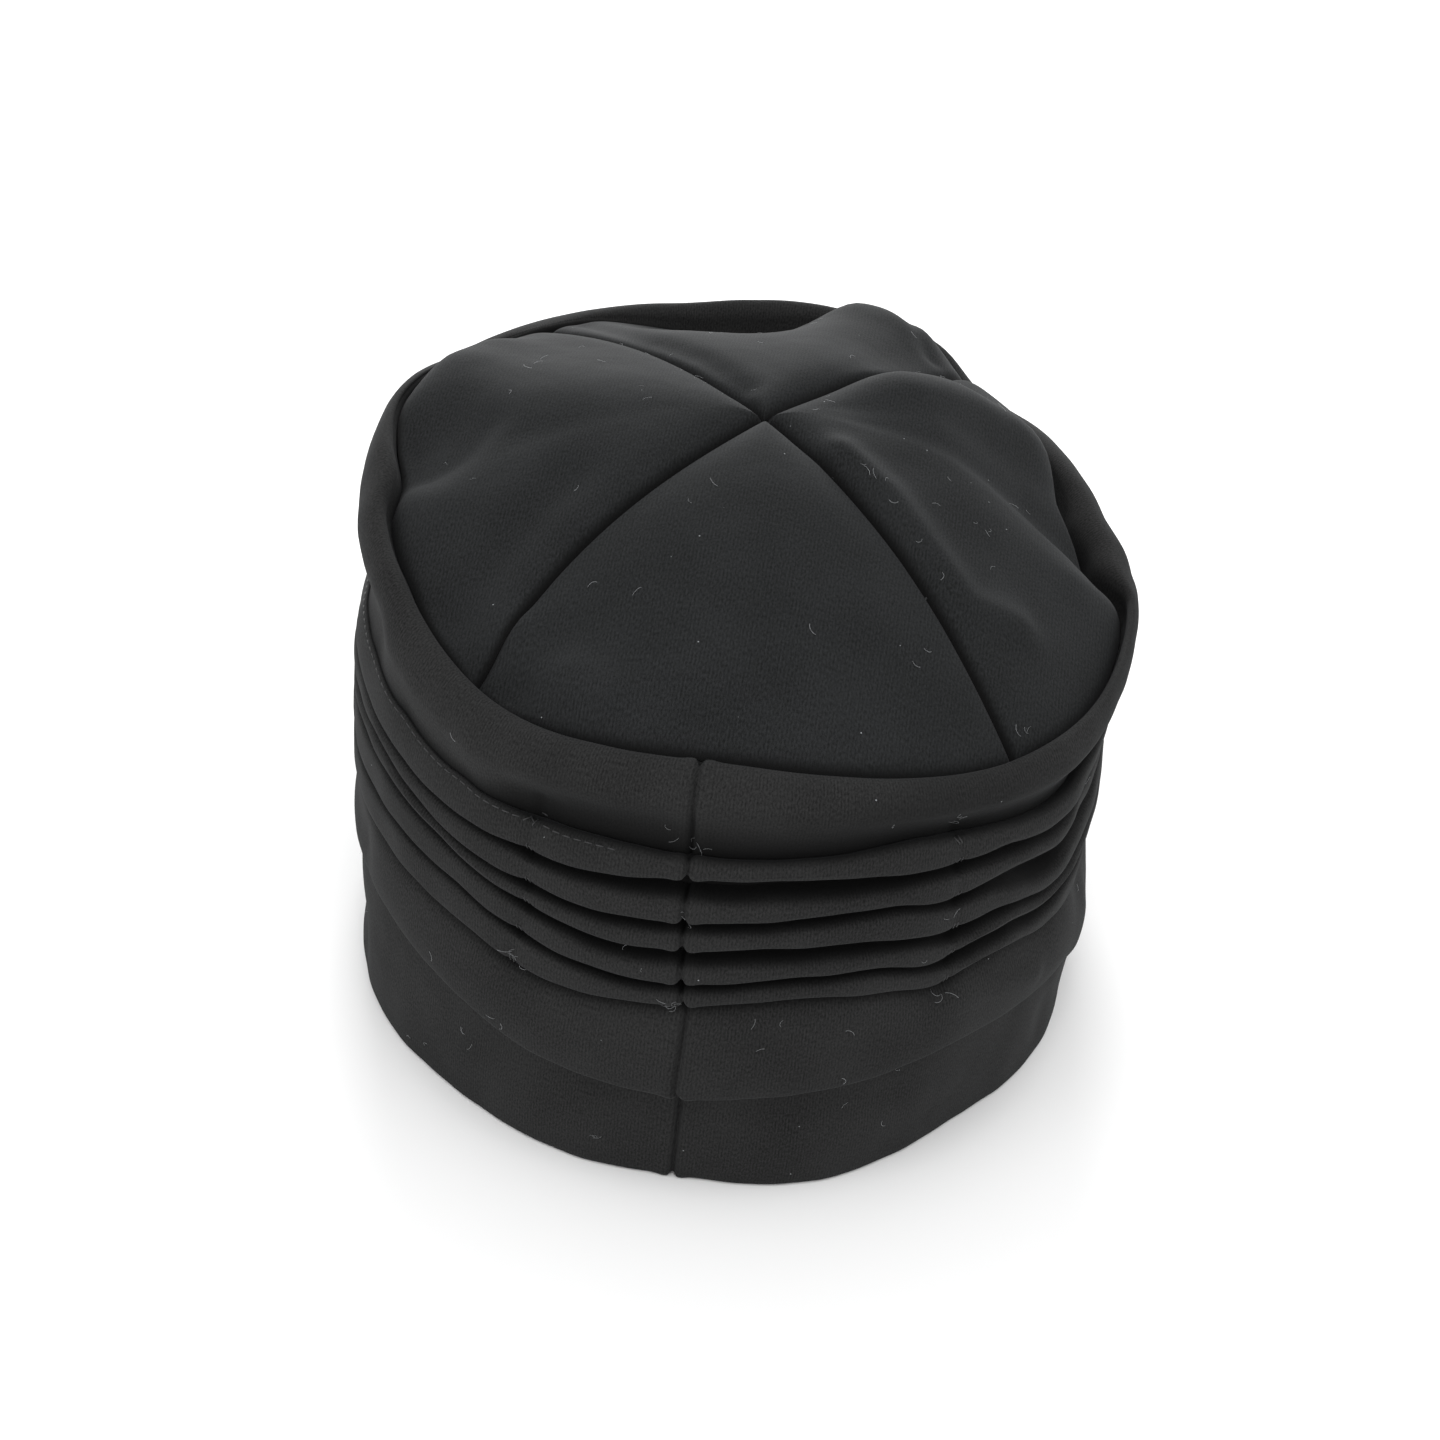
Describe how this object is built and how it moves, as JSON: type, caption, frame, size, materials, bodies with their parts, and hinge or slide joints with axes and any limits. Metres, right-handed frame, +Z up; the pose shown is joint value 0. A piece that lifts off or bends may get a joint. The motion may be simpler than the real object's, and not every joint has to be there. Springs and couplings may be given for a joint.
{
  "type": "chemo cap",
  "caption": "Soft jersey head cap with a plain hem band, a pleated side band and a domed tip of sewn panels, open underneath for the head.",
  "frame": {"origin": "centre of the cap's box, on the plane that its hem rests on", "axes": "+Z up through the tip; -Y towards the front of the cap, +Y towards the centre back seam; +X towards the wearer's left"},
  "size_m": [0.1728, 0.2026, 0.1334],
  "materials": {
    "jersey": "matte brushed knit, black"
  },
  "bodies": {
    "root": {"hem_band": "jersey", "pleated_band": "jersey", "crown_band": "jersey", "tip_panel_back": "jersey", "tip_panel_right": "jersey", "tip_panel_front": "jersey", "tip_panel_left": "jersey"}
  },
  "joints": []
}
